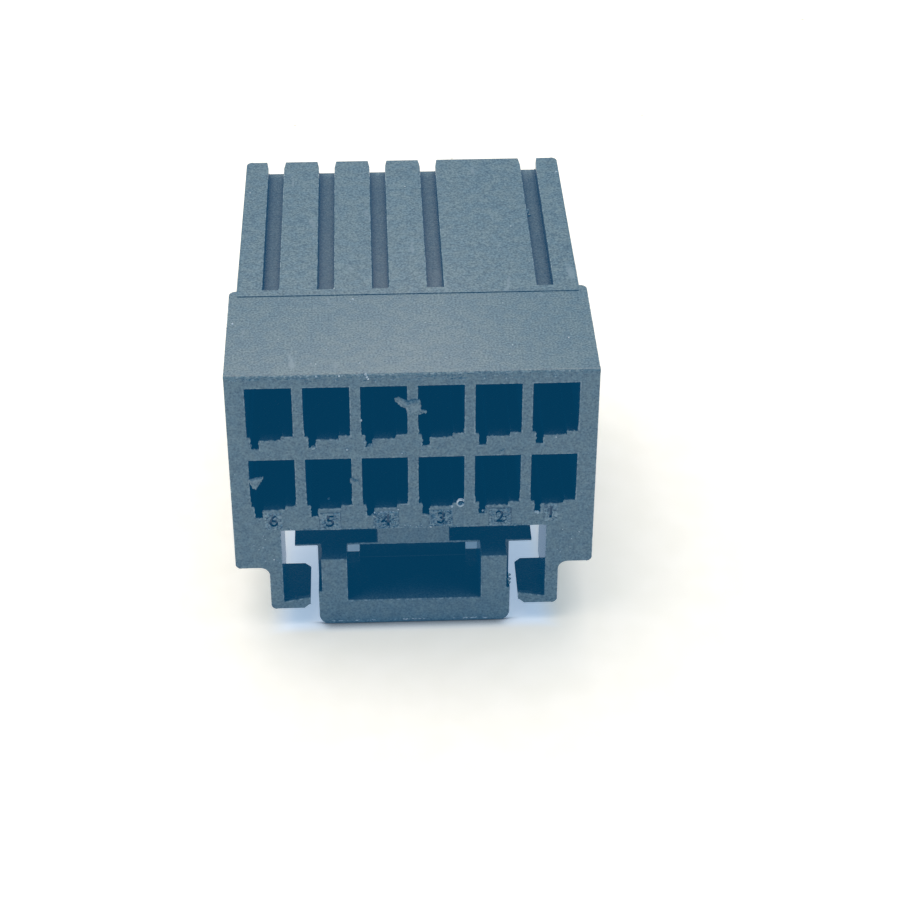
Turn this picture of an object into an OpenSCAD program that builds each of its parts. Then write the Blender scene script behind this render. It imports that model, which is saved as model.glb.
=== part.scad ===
// Two-row receptacle housing for crimped wire contacts, moulded in one piece
// with its latch lever. Millimetres.
// X runs across the positions, Y from the wire entry (-Y) to the mating end (+Y), Z up.
// The origin is the centre of the footprint, level with the sole of the latch pad.

/* [Contact grid] */
// Positions in each row
positions = 6; // [3:1:8]
// Distance between neighbouring positions
pitch = 2.0; // [1.95:0.05:2.5]
// Distance between the rows
row_pitch = 3.03; // [2.95:0.01:3.4]
// Position without a guide groove, counted from the left: the key
key_position = 5; // [1:1:8]

/* [Cavities] */
// Width of a contact cavity
cavity_w = 1.64; // [1.5:0.01:1.7]
// Height of a contact cavity at the wire entry, from its roof to its main floor
cavity_h = 2.23; // [2.0:0.01:2.3]
// Height of the narrower part that holds the contact's box
box_h = 1.60; // [1.4:0.01:1.7]
// Distance from the wire entry to that part
box_start = 5.2; // [3:0.1:5.4]
// Width of the raised step along one side of the floor
step_w = 0.40; // [0.2:0.01:0.45]
// Width of the narrow ledge along the other side of the floor
ledge_w = 0.12; // [0.08:0.01:0.2]
// Height of the step and the ledge above the floor
step_h = 0.15; // [0.05:0.01:0.3]
// Width of the polarising slot beside the ledge
slot_w = 0.31; // [0.2:0.01:0.35]
// Depth of the polarising slot below the floor
slot_d = 0.35; // [0.1:0.01:0.4]

/* [Locking lances] */
// Width of a lance
lance_w = 0.50; // [0.3:0.01:0.55]
// Thickness of a lance
lance_t = 0.28; // [0.2:0.01:0.32]
// Free length of a lance
lance_l = 3.4; // [2:0.1:4.5]
// Height of a lance's tip above the cavity floor
lance_rise = 0.55; // [0.4:0.01:0.8]
// Room beside and under a lance
lance_gap = 0.08; // [0.05:0.01:0.12]
// Distance from the wire entry to the root of the lances
lance_start = 7.4; // [6:0.1:8.5]

/* [Contact entries] */
// Side of the square pin entry in the mating face
entry_w = 1.0; // [0.7:0.05:1.2]
// Width of the lead-in chamfer around an entry
entry_chamfer = 0.28; // [0.1:0.01:0.4]
// Thickness of the wall behind the mating face
nose_wall = 1.3; // [0.8:0.05:2]

/* [Walls] */
// Wall above the upper row
top_wall = 0.52; // [0.3:0.01:0.8]
// Wall under the lower row
floor_wall = 0.92; // [0.75:0.01:1.5]
// Wall beside the outer cavities
side_wall = 0.68; // [0.5:0.01:1]

/* [Body] */
// Length from the wire entry to the mating face
body_l = 15.4; // [14:0.1:22]
// Length of the collar round the wire entry
collar_l = 5.60; // [5.5:0.05:7]
// How far the mating body's top stands proud of the collar's, where two mould halves meet
mould_step = 0.03; // [0.02:0.01:0.1]
// Step from the collar's side to the mating body's side
shoulder_side = 0.25; // [0.05:0.01:0.4]
// Step from the collar's underside to the mating body's underside
shoulder_under = 0.12; // [0.05:0.01:0.2]
// Draft of each side of the mating body over its length
side_draft = 0.07; // [0:0.01:0.1]
// Radius of the collar's front top edge
brow_r = 0.10; // [0.05:0.01:0.35]
// Radius of the vertical edges at the rear of the collar and of the body
corner_r = 0.26; // [0.1:0.01:0.5]
// Radius of the long edges of the mating body
edge_r = 0.12; // [0.05:0.01:0.25]

/* [Guide grooves] */
// Width of a guide groove
groove_w = 0.61; // [0.4:0.01:0.9]
// Depth of a guide groove below the mating body's top
groove_d = 0.50; // [0.2:0.01:0.7]
// Lead-in at the groove's open end, on each flank and on the floor
groove_lead = 0.06; // [0.02:0.01:0.12]
// Length of that lead-in
groove_lead_l = 0.50; // [0.2:0.05:1]

/* [Skirts and guards] */
// Drop of the side skirts below the collar
skirt_drop = 1.69; // [0.8:0.01:2]
// Width of a side skirt
skirt_w = 1.22; // [0.8:0.01:1.6]
// Thickness of a guard's wall
guard_t = 0.48; // [0.3:0.01:0.7]
// Length of the guards
guard_l = 3.1; // [2.4:0.05:4]
// Reach of a guard's flange under the latch wing
flange_reach = 0.97; // [0.6:0.01:1.1]
// Length of the flange
flange_l = 2.3; // [1.5:0.05:2.35]
// Thickness of the flange
flange_t = 0.32; // [0.27:0.01:0.5]
// Height and length of the nib on the flange's front edge
flange_nib = 0.18; // [0.05:0.01:0.3]
// Height of the guards above the sole of the latch pad
guard_lift = 0.79; // [0.4:0.01:1]
// Radius in the corner between a skirt and its guard
guard_fillet_r = 0.35; // [0.1:0.01:0.5]
// Radius of the outer edges of skirts and guards
guard_edge_r = 0.22; // [0.05:0.01:0.26]

/* [Latch pad] */
// Width of the thumb pad
pad_w = 7.04; // [5:0.02:7.2]
// Height of the thumb pad, from its sole to the top of the lever
pad_h = 3.04; // [2.6:0.01:3.4]
// Length of the thumb pad
pad_l = 2.95; // [2:0.05:4]
// Thickness of the pad's upright legs
pad_leg = 1.07; // [0.6:0.01:1.3]
// Thickness of the pad's floor
pad_floor = 1.11; // [0.6:0.01:1.3]
// Radius of the pad's lower corners, seen from the front
pad_r = 0.42; // [0.1:0.01:0.6]
// Radius of the sole's front and rear edges
sole_r = 0.08; // [0.03:0.01:0.2]
// Depth of the relief in the outer side of each leg, in front of the lip
relief_d = 0.13; // [0.05:0.01:0.3]
// Height of that relief's lower end above the sole
relief_z = 1.55; // [1.2:0.05:2.5]
// Gap between the lever and the collar's underside
latch_gap = 1.36; // [1:0.01:2]

/* [Latch lip and wings] */
// Distance of the lip from the pad's front
lip_setback = 0.97; // [0.5:0.01:1.5]
// Thickness of the lip at its front edge
lip_t = 0.09; // [0.06:0.01:0.3]
// Thickness of the lip and wings at their rear
wing_t = 0.55; // [0.3:0.01:0.9]
// Width across the two wings
wing_w = 8.72; // [7.8:0.02:8.9]
// Length of the wings
wing_l = 1.3; // [0.8:0.05:1.8]
// Width of the stop boss on the lip
boss_w = 2.64; // [1.5:0.02:3.6]
// Height of the stop boss
boss_h = 0.74; // [0.3:0.01:0.9]
// Length of the stop boss
boss_l = 1.3; // [0.6:0.05:2]

/* [Latch arm] */
// Width of the lever arm
arm_w = 4.0; // [3:0.05:4.4]
// Thickness of the lever arm
arm_t = 1.10; // [0.9:0.01:1.6]
// Depth of the hook below the arm; its flat lies level with the pad's sole
hook_d = 0.60; // [0.5:0.01:1]
// Distance from the hook's catch to the mating face
catch_back = 6.0; // [5:0.05:8]
// Length of the flat under the hook
hook_flat = 0.45; // [0.2:0.05:0.8]
// Length of the ramp that lets the hook pass under a header's wall
hook_ramp = 1.3; // [0.8:0.05:1.6]
// Distance from the arm's nose to the mating face
nose_back = 1.0; // [0.5:0.05:1.4]
// Height of the nose and length of the taper under it
nose_h = 0.6; // [0.3:0.01:0.8]
// Length of the wall behind the pad, from which the arm leaves
root_t = 0.5; // [0.3:0.05:1]
// Thickness of the web that joins the arm's nose to the body
web_t = 1.1; // [0.7:0.05:1.6]
// Radius in the corners of the root and the web
web_r = 0.30; // [0.1:0.01:0.4]

/* [Hidden] */
$fn = 64;
rows = 2;
overlap = 0.4;       // how far joined shapes run into each other
past = 1;            // how far a cut runs past the face it opens

collar_h = top_wall + (rows - 1) * row_pitch + cavity_h + floor_wall;
collar_w = (positions - 1) * pitch + cavity_w + 2 * side_wall;
lever_z = pad_h;                              // top of the lever
under_z = lever_z + latch_gap;                // underside of the collar
top_z = under_z + collar_h;                   // top of the collar
front_y = -body_l / 2;                        // wire entry face
rear_y = body_l / 2;                          // mating face
shoulder_y = front_y + collar_l;              // rear of the collar
body_w = collar_w - 2 * shoulder_side;
body_top_z = top_z + mould_step;
body_under_z = under_z + shoulder_under;
skirt_z = under_z - skirt_drop;
skirt_x = collar_w / 2 - skirt_w;             // inner face of a skirt, outer face of a guard
guard_x = skirt_x - guard_t;                  // inner face of a guard
flange_x = guard_x - flange_reach;            // tip of a guard's flange
flange_z = guard_lift + flange_t;             // top of a guard's flange
lip_y = front_y + lip_setback;
pad_y = front_y + pad_l;                      // rear of the thumb pad
arm_z = hook_d;                               // underside of the arm
arm_top_z = arm_z + arm_t;
catch_y = rear_y - catch_back;
nose_y = rear_y - nose_back;
web_y = nose_y - web_t;

function column_x(i) = (i - (positions - 1) / 2) * pitch;
function roof_z(row) = top_z - top_wall - row * row_pitch;
function floor_z(row) = roof_z(row) - cavity_h;

// Carries a front-view outline, drawn in X and Z, from y0 to y1
module along_y(y0, y1) {
    translate([0, y1, 0]) rotate([90, 0, 0]) linear_extrude(y1 - y0) children();
}

// Carries a side-view outline, drawn in Y and Z, over a width about X = x
module across_x(x, w) {
    translate([x - w / 2, 0, 0]) rotate([90, 0, 90]) linear_extrude(w) children();
}

// Carries a plan, drawn in X and Y, from z0 to z1
module up_z(z0, z1) {
    translate([0, 0, z0]) linear_extrude(z1 - z0) children();
}

// Rectangle from corner a to corner b
module rect(a, b) {
    translate(a) square(b - a);
}

// Rectangle with its four corners rounded
module rounded_rect(a, b, r) {
    rect([a.x + r, a.y], [b.x - r, b.y]);
    rect([a.x, a.y + r], [b.x, b.y - r]);
    for (x = [a.x + r, b.x - r], y = [a.y + r, b.y - r]) translate([x, y]) circle(r);
}

// What a rounding of radius r leaves over in the corner at p; away points into the material
module corner_rest(p, away, r) {
    difference() {
        translate([p.x + min(0, away.x) * r, p.y + min(0, away.y) * r]) square(r);
        translate([p.x + away.x * r, p.y + away.y * r]) circle(r);
    }
}

module both_sides() {
    children();
    mirror([1, 0, 0]) children();
}

// ---- wire-entry collar, its skirts and the guards beside the latch ----

module collar() {
    intersection() {
        along_y(front_y, shoulder_y) collar_outline();
        up_z(skirt_z, top_z) collar_plan();
        across_x(0, collar_w) collar_side();
    }
}

module collar_outline() {
    rect([-collar_w / 2, under_z], [collar_w / 2, top_z]);
    both_sides() difference() {
        rect([skirt_x, skirt_z], [collar_w / 2, under_z + overlap]);
        corner_rest([collar_w / 2, skirt_z], [-1, 1], guard_edge_r);
    }
}

// Vertical edges are rounded at the shoulder only
module collar_plan() {
    rounded_rect([-collar_w / 2, front_y], [collar_w / 2, shoulder_y], corner_r);
    rect([-collar_w / 2, front_y], [collar_w / 2, shoulder_y - corner_r]);
}

// The top edge over the wire entry is rounded like a brow
module collar_side() {
    difference() {
        rect([front_y, skirt_z], [shoulder_y, top_z]);
        corner_rest([front_y, top_z], [1, -1], brow_r);
    }
}

module guard() {
    along_y(front_y, front_y + guard_l) guard_wall_outline();
    intersection() {
        along_y(front_y, front_y + flange_l) flange_outline();
        up_z(guard_lift, lever_z) flange_plan();
    }
    along_y(front_y, front_y + flange_nib) nib_outline();
}

// The wall, with the fillet that runs it into the skirt
module guard_wall_outline() {
    difference() {
        rect([guard_x, guard_lift], [skirt_x, under_z + overlap]);
        corner_rest([skirt_x, guard_lift], [-1, 1], guard_edge_r);
    }
    corner_rest([skirt_x, skirt_z], [1, -1], guard_fillet_r);
    rect([skirt_x - guard_t / 2, skirt_z], [skirt_x + guard_fillet_r, under_z + overlap]);
}

module flange_outline() {
    polygon([
        [guard_x + guard_t / 2, guard_lift], [flange_x + guard_edge_r, guard_lift],
        [flange_x, guard_lift + guard_edge_r], [flange_x, flange_z],
        [guard_x + guard_t / 2, flange_z]
    ]);
}

// The flange's rear inner corner is cut off
module flange_plan() {
    end_y = front_y + flange_l;
    polygon([
        [flange_x, front_y], [skirt_x, front_y], [skirt_x, end_y],
        [flange_x + guard_edge_r, end_y], [flange_x, end_y - guard_edge_r]
    ]);
}

// Nib that rises along the flange's front edge towards its tip
module nib_outline() {
    polygon([[flange_x, flange_z - flange_t / 2], [guard_x, flange_z - flange_t / 2],
             [guard_x, flange_z], [flange_x, flange_z + flange_nib]]);
}

// ---- mating body ----

module mating_body() {
    intersection() {
        along_y(shoulder_y - overlap, rear_y)
            rounded_rect([-body_w / 2, body_under_z], [body_w / 2, body_top_z], edge_r);
        up_z(body_under_z, body_top_z) mating_plan();
    }
}

// The sides draw in towards the mating face, where the vertical edges are rounded
module mating_plan() {
    root_y = shoulder_y - overlap;
    end_x = body_w / 2 - side_draft;
    polygon([[-body_w / 2, root_y], [body_w / 2, root_y], [end_x, rear_y - corner_r],
             [end_x - corner_r, rear_y - corner_r], [-end_x + corner_r, rear_y - corner_r],
             [-end_x, rear_y - corner_r]]);
    rect([-end_x + corner_r, rear_y - 2 * corner_r], [end_x - corner_r, rear_y]);
    both_sides() translate([end_x - corner_r, rear_y - corner_r]) circle(corner_r);
}

module guide_groove() {
    floor_of_groove_z = body_top_z - groove_d;
    lead_y = rear_y - groove_lead_l;
    half = groove_w / 2;
    up_z(floor_of_groove_z, top_z + past) polygon([
        [-half, shoulder_y], [half, shoulder_y], [half, lead_y],
        [half + groove_lead, rear_y], [half + groove_lead, rear_y + past],
        [-half - groove_lead, rear_y + past], [-half - groove_lead, rear_y], [-half, lead_y]
    ]);
    across_x(0, groove_w) polygon([
        [rear_y - groove_lead, floor_of_groove_z], [rear_y, floor_of_groove_z - groove_lead],
        [rear_y + past, floor_of_groove_z - groove_lead], [rear_y + past, floor_of_groove_z]
    ]);
}

// ---- contact cavities, each with its locking lance and pin entry ----

// Front view of a cavity of the given height, with its main floor at 0
module cavity_outline(height) {
    half = cavity_w / 2;
    slot_x = -half + ledge_w;
    rect([-half, step_h], [half, height]);
    rect([slot_x, 0], [half - step_w, height / 2]);
    rect([slot_x, -slot_d], [slot_x + slot_w, height / 2]);
}

// The cavity is tall where the wire is crimped and lower round the contact's box
module cavity(row) {
    translate([0, 0, floor_z(row)]) {
        along_y(front_y - past, front_y + box_start) cavity_outline(cavity_h);
        along_y(front_y, rear_y - nose_wall) cavity_outline(box_h);
    }
}

// Middle of the flat part of the floor, where the lance stands
lance_x = (ledge_w + slot_w - step_w) / 2;
lance_y = front_y + lance_start;

module lance_room(row) {
    room_w = lance_w + 2 * lance_gap;
    across_x(lance_x, room_w) rect(
        [lance_y, floor_z(row) - lance_t - lance_gap],
        [lance_y + lance_l + lance_t, floor_z(row) + box_h / 2]);
}

module lance(row) {
    base_z = floor_z(row);
    tip = lance_y + lance_l;
    across_x(lance_x, lance_w) polygon([
        [lance_y - overlap, base_z - lance_t], [lance_y, base_z - lance_t],
        [tip, base_z + lance_rise - lance_t], [tip, base_z + lance_rise],
        [tip - lance_t, base_z + lance_rise], [lance_y, base_z], [lance_y - overlap, base_z]
    ]);
}

// Square pin entry through the nose wall, with a lead-in chamfer on its four sides
module pin_entry(row) {
    half = entry_w / 2;
    translate([0, 0, floor_z(row) + box_h / 2]) intersection() {
        across_x(0, cavity_w) entry_profile(half);
        up_z(-cavity_w / 2, cavity_w / 2) mirror([1, -1]) entry_profile(half);
    }
}

// Trumpet profile about the axis, drawn from the cavity to beyond the mating face
module entry_profile(half) {
    inner_y = rear_y - nose_wall - overlap;
    wide = half + entry_chamfer;
    polygon([[inner_y, -half], [rear_y - entry_chamfer, -half], [rear_y, -wide],
             [rear_y + overlap, -wide], [rear_y + overlap, wide], [rear_y, wide],
             [rear_y - entry_chamfer, half], [inner_y, half]]);
}

// ---- latch lever ----

module thumb_pad() {
    half = pad_w / 2;
    inner = half - pad_leg;
    intersection() {
        along_y(front_y, pad_y) difference() {
            rect([-half, 0], [half, lever_z]);
            rect([-inner, pad_floor], [inner, lever_z + past]);
            both_sides() corner_rest([half, 0], [-1, 1], pad_r);
        }
        across_x(0, pad_w) difference() {
            rect([front_y, 0], [pad_y, lever_z]);
            corner_rest([front_y, 0], [1, 1], sole_r);
            corner_rest([pad_y, 0], [-1, 1], sole_r);
        }
        union() {
            up_z(0, relief_z) rect([-half, front_y], [half, pad_y]);
            up_z(0, lever_z) pad_plan(half);
        }
    }
}

// The legs are relieved on their outer sides in front of the lip
module pad_plan(half) {
    rect([-half + relief_d, front_y], [half - relief_d, pad_y]);
    rect([-half, lip_y], [half, pad_y]);
}

// Wedge with a thin front edge; it roofs the pad's channel and bears the wings
module lip_and_wings() {
    across_x(0, wing_w) wedge(lip_y + wing_l);
    across_x(0, pad_w) wedge(pad_y + overlap);
}

module wedge(end_y) {
    thick_z = lever_z - lip_t - (wing_t - lip_t) * (end_y - lip_y) / wing_l;
    polygon([[lip_y, lever_z - lip_t], [lip_y + wing_l, lever_z - wing_t],
             [end_y, min(lever_z - wing_t, thick_z)], [end_y, lever_z], [lip_y, lever_z]]);
}

module stop_boss() {
    across_x(0, boss_w) rect([lip_y, lever_z - lip_t], [lip_y + boss_l, lever_z + boss_h]);
}

// The arm leaves the wall behind the pad and is rooted at its nose, so a thumb on the pad
// lifts the hook
module arm_and_hook() {
    hook_y = catch_y + hook_flat;
    across_x(0, arm_w) {
        polygon([
            [pad_y - overlap, arm_z], [pad_y - overlap, lever_z], [pad_y + root_t, lever_z],
            [pad_y + root_t, arm_top_z], [nose_y, arm_top_z], [nose_y, arm_top_z - nose_h],
            [nose_y - nose_h, arm_z], [hook_y + hook_ramp, arm_z], [hook_y, 0], [catch_y, 0],
            [catch_y, arm_z]
        ]);
        corner_rest([pad_y + root_t, arm_top_z], [1, 1], web_r);
    }
}

// Web that joins the arm's nose to the body, with rounded corners
module web() {
    across_x(0, arm_w) {
        rect([web_y, arm_top_z - overlap], [nose_y, body_under_z + overlap]);
        corner_rest([web_y, arm_top_z], [-1, 1], web_r);
        corner_rest([web_y, body_under_z], [-1, -1], web_r);
        corner_rest([nose_y, body_under_z], [1, -1], web_r);
    }
}

module latch_lever() {
    thumb_pad();
    lip_and_wings();
    stop_boss();
    arm_and_hook();
    web();
}

// ---- the moulding ----

module housing() {
    color([0.20, 0.28, 0.34]) {
        difference() {
            union() {
                collar();
                both_sides() guard();
                mating_body();
            }
            for (i = [0 : positions - 1]) translate([column_x(i), 0, 0]) {
                if (i + 1 != key_position) guide_groove();
                for (row = [0 : rows - 1]) {
                    cavity(row);
                    lance_room(row);
                    pin_entry(row);
                }
            }
        }
        for (i = [0 : positions - 1], row = [0 : rows - 1]) translate([column_x(i), 0, 0]) lance(row);
        latch_lever();
    }
}

housing();
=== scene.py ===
# %% [markdown]
# # A two-row receptacle housing, moulded in one piece with its latch
#
# The real part is a filled plastic shot into a steel mould. Its faces carry a fine dull grain,
# its edges are almost sharp, and it keeps small scars: thin flash where the cores meet the
# cavity mouths, a sliver or two that nobody brushed off, and position numbers engraved in the
# wire entry face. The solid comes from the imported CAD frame. This notebook adds the rest.

# %% Load the frame
import math

import bmesh
import bpy
import numpy as np
from mathutils import Matrix, Vector


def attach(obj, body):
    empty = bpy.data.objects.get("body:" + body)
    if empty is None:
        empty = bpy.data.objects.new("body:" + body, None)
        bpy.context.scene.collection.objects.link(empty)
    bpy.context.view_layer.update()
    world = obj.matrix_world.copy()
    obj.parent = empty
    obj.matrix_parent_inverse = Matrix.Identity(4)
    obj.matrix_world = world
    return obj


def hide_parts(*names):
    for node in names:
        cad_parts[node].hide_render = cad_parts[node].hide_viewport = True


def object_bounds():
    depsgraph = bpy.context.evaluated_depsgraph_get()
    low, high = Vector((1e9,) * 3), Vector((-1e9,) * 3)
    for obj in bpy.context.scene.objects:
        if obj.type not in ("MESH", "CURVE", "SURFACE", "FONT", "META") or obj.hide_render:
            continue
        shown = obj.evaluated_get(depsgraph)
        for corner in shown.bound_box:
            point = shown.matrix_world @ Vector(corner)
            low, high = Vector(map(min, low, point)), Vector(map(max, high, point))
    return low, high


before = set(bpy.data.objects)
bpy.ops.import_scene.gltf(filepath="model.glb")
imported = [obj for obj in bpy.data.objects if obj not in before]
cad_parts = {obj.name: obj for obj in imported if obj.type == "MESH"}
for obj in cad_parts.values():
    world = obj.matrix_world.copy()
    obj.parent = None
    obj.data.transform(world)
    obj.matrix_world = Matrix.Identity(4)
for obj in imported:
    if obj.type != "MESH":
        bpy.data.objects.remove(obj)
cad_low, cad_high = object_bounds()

mm = 0.001
scene = bpy.context.scene
scene.view_settings.view_transform = "Standard"
print("CAD box in mm:", [round(v / mm, 2) for v in (*cad_low, *cad_high)])

# %% [markdown]
# ## Where things are
#
# Places are worked out from the CAD box: the wire entry face is its lowest Y, the mating face
# its highest Y and the latch pad's sole its lowest Z. The contact grid is centred in X. The
# sizes of the grid are those of the part, because the flash and the numbers follow it.

# %% Places and sizes of the housing
front_y, rear_y = cad_low.y, cad_high.y
sole_z = cad_low.z
mould_step = 0.03 * mm
top_z = cad_high.z - mould_step
columns, rows, pitch, row_pitch = 6, 2, 2.0 * mm, 3.03 * mm
cavity_width, cavity_height, roof_wall = 1.64 * mm, 2.23 * mm, 0.52 * mm
ledge_width, step_width, step_height = 0.12 * mm, 0.40 * mm, 0.15 * mm
slot_width, slot_depth = 0.31 * mm, 0.35 * mm
collar_length = 5.6 * mm


def column_x(column):
    """X of the middle of a column of cavities, counted from 0 at the left."""
    return (column - (columns - 1) / 2) * pitch


def floor_z(row):
    """Z of the main floor of the cavities in a row, counted from 0 at the top."""
    return top_z - roof_wall - row * row_pitch - cavity_height


def on_wire_face(across, below_top):
    """A point on the wire entry face, given in mm from the middle and from the top."""
    return Vector((across * mm, front_y, top_z - below_top * mm))


print("front", round(front_y / mm, 2), "rear", round(rear_y / mm, 2), "top", round(top_z / mm, 2))

# %% [markdown]
# ## Camera
#
# A long lens from above and in front shows the wire entry and the grooved top at once.
# It is placed by angle and distance round a point on the wire entry face, so that the framing
# is easy to read, and then rolled a trace, as a hand-held camera is.

# %% Place the camera
aim = Vector((1.300 * mm, front_y, sole_z + 7.822 * mm))
distance = 78.258 * mm
azimuth, elevation, roll = math.radians(-2.406), math.radians(35.456), math.radians(0.124)

backwards = Vector((math.sin(azimuth) * math.cos(elevation),
                    -math.cos(azimuth) * math.cos(elevation), math.sin(elevation)))
camera = bpy.data.objects.new("camera", bpy.data.cameras.new("camera"))
camera.data.lens, camera.data.sensor_width = 88.89, 36.0
camera.data.clip_start, camera.data.clip_end = 1 * mm, 10.0
camera.rotation_mode = "QUATERNION"
camera.location = aim + backwards * distance
camera.rotation_quaternion = ((-backwards).to_track_quat("-Z", "Y")
                              @ Matrix.Rotation(roll, 3, "Z").to_quaternion())
scene.collection.objects.link(camera)
scene.camera = camera
print("camera at", [round(v / mm, 1) for v in camera.location], "mm")

# %% [markdown]
# ## Light
#
# One very large soft lamp overhead, a little behind and to the left, does most of the work. It
# puts a dull sheen on every face that looks up and leaves the wire entry face to the light that
# the white floor throws back. The room adds a weak, cooler light, so the shade turns blue.
# Past the floor's edge the camera sees the room as plain white.

# %% Lamp and room
def soft_lamp(name, place, size, watts, colour):
    """A square lamp at place that looks at the origin."""
    lamp = bpy.data.objects.new(name, bpy.data.lights.new(name, "AREA"))
    lamp.data.size, lamp.data.energy, lamp.data.color = size, watts, colour
    lamp.location = place
    lamp.rotation_mode = "QUATERNION"
    lamp.rotation_quaternion = (-Vector(place)).to_track_quat("-Z", "Y")
    scene.collection.objects.link(lamp)
    return lamp


overhead = soft_lamp("overhead", (-0.12, 0.19, 0.65), 0.9, 6.5, (1.0, 0.84, 0.69))
room = bpy.data.worlds.new("room")
scene.world = room
room.use_nodes = True
sky = room.node_tree.nodes["Background"]
light_path = room.node_tree.nodes.new("ShaderNodeLightPath")
seen_sky = room.node_tree.nodes.new("ShaderNodeMix")
seen_sky.data_type = "RGBA"
seen_sky.inputs[6].default_value = (0.19, 0.30, 0.43, 1)
seen_sky.inputs[7].default_value = (0.95, 0.95, 0.93, 1)
room.node_tree.links.new(light_path.outputs["Is Camera Ray"], seen_sky.inputs["Factor"])
room.node_tree.links.new(seen_sky.outputs[2], sky.inputs["Color"])
sky.inputs["Strength"].default_value = 1.0
print("lamp", overhead.name, "at", round(overhead.location.length, 2), "m")

# %% [markdown]
# ## Shader helpers
#
# Each effect below is one node group with named inputs, so it can be reused and tuned without
# opening it. A small helper class adds nodes by name and joins them, which keeps each group as
# short as its idea.

# %% A small node writer
class NodeWriter:
    """Adds nodes to a tree. Inputs are given by name or number, as sockets or as values."""

    def __init__(self, tree):
        self.tree = tree

    def add(self, kind, inputs=None, **settings):
        node = self.tree.nodes.new("ShaderNode" + kind)
        for key, value in settings.items():
            setattr(node, key, value)
        for key, value in (inputs or {}).items():
            if isinstance(value, bpy.types.NodeSocket):
                self.tree.links.new(value, node.inputs[key])
            else:
                node.inputs[key].default_value = value
        return node

    def math(self, operation, a, b=0.0):
        return self.add("Math", {0: a, 1: b}, operation=operation).outputs[0]

    def ramp(self, value, low, high, to_low=0.0, to_high=1.0):
        """Maps low..high to to_low..to_high, smoothly and clamped."""
        inputs = {"Value": value, "From Min": low, "From Max": high,
                  "To Min": to_low, "To Max": to_high}
        return self.add("MapRange", inputs, interpolation_type="SMOOTHSTEP").outputs["Result"]

    def mix(self, share, a, b, blend="MIX"):
        """The colour a turned into b by the share."""
        inputs = {"Factor": share, 6: a, 7: b}
        return self.add("Mix", inputs, data_type="RGBA", blend_type=blend).outputs[2]

    def noise(self, point, size, detail=2.0):
        """Noise whose lumps are about size metres wide."""
        scale = self.math("DIVIDE", 1.0, size)
        inputs = {"Vector": point, "Scale": scale, "Detail": detail}
        return self.add("TexNoise", inputs).outputs["Fac"]


def node_group(name, inputs, outputs):
    """A shader node group with float inputs {name: default} beside Point, and named outputs."""
    tree = bpy.data.node_groups.new(name, "ShaderNodeTree")
    tree.interface.new_socket("Point", in_out="INPUT", socket_type="NodeSocketVector")
    for key, default in inputs.items():
        socket = tree.interface.new_socket(key, in_out="INPUT", socket_type="NodeSocketFloat")
        socket.default_value = default
    for key in outputs:
        tree.interface.new_socket(key, in_out="OUTPUT", socket_type="NodeSocketFloat")
    writer = NodeWriter(tree)
    source = tree.nodes.new("NodeGroupInput")
    sink = tree.nodes.new("NodeGroupOutput")
    return writer, source.outputs, sink.inputs


def show_sockets(tree):
    print("node group", tree.name, [socket.name for socket in tree.interface.items_tree])


# %% [markdown]
# ## Moulded grain
#
# Spark-eroded steel leaves a fine pebbled skin on plastic. Two noises make it: a fine one for
# the pebbles, about a tenth of a millimetre, and a broad one for the slow cloudiness that
# filled plastic shows. Tone multiplies the colour, Cloud picks between two tints, and Height
# drives the bump.

# %% Node group: moulded grain
def make_moulded_grain():
    write, given, result = node_group(
        "moulded_grain", {"Pebble Size": 0.1 * mm, "Contrast": 0.3, "Cloudiness": 0.1},
        ["Tone", "Cloud", "Height"])
    pebbles = write.noise(given["Point"], given["Pebble Size"], 3.0)
    cloud_size = write.math("MULTIPLY", given["Pebble Size"], 6.0)
    clouds = write.noise(given["Point"], cloud_size, 3.0)
    pebble_tone = write.math("MULTIPLY", write.math("SUBTRACT", pebbles, 0.5), given["Contrast"])
    cloud_tone = write.math("MULTIPLY", write.math("SUBTRACT", clouds, 0.5), given["Cloudiness"])
    tone = write.math("ADD", write.math("ADD", pebble_tone, cloud_tone), 1.0)
    write.tree.links.new(tone, result["Tone"])
    write.tree.links.new(write.ramp(clouds, 0.38, 0.62), result["Cloud"])
    write.tree.links.new(pebbles, result["Height"])
    return write.tree


moulded_grain = make_moulded_grain()
show_sockets(moulded_grain)

# %% [markdown]
# ## Worn edges
#
# The mould's sharp corners rub first. The mesh marks its own edge bands, and this group breaks
# the band up with noise, so that the edge is light in ragged chips and not in an even line.

# %% Node group: worn edges
def make_worn_edges():
    write, given, result = node_group(
        "worn_edges", {"Edge Band": 0.0, "Chip Size": 0.2 * mm, "Coverage": 0.5}, ["Mask"])
    chips = write.noise(given["Point"], given["Chip Size"], 3.0)
    threshold = write.math("SUBTRACT", 1.0, given["Coverage"])
    ragged = write.ramp(chips, threshold, write.math("ADD", threshold, 0.12))
    mask = write.math("MULTIPLY", ragged, given["Edge Band"])
    write.tree.links.new(mask, result["Mask"])
    return write.tree


worn_edges = make_worn_edges()
show_sockets(worn_edges)

# %% [markdown]
# ## Openness
#
# Handling dulls and lightens only what a finger or a neighbour can reach. Ambient occlusion
# tells open surfaces from the walls of a bore or the underside of the latch: it sends short
# rays out and counts those that get away. The same mask paints shade: deep recesses lose their
# scars and most of their colour, so that each reads as one even shade.

# %% Node group: openness
def make_openness():
    write, given, result = node_group(
        "openness", {"Reach": 4.0 * mm, "Closed Below": 0.36, "Open Above": 0.74}, ["Mask"])
    rays = write.add("AmbientOcclusion", {"Distance": given["Reach"]}, samples=8, only_local=True)
    mask = write.ramp(rays.outputs["AO"], given["Closed Below"], given["Open Above"])
    write.tree.links.new(mask, result["Mask"])
    return write.tree


openness = make_openness()
show_sockets(openness)

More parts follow.
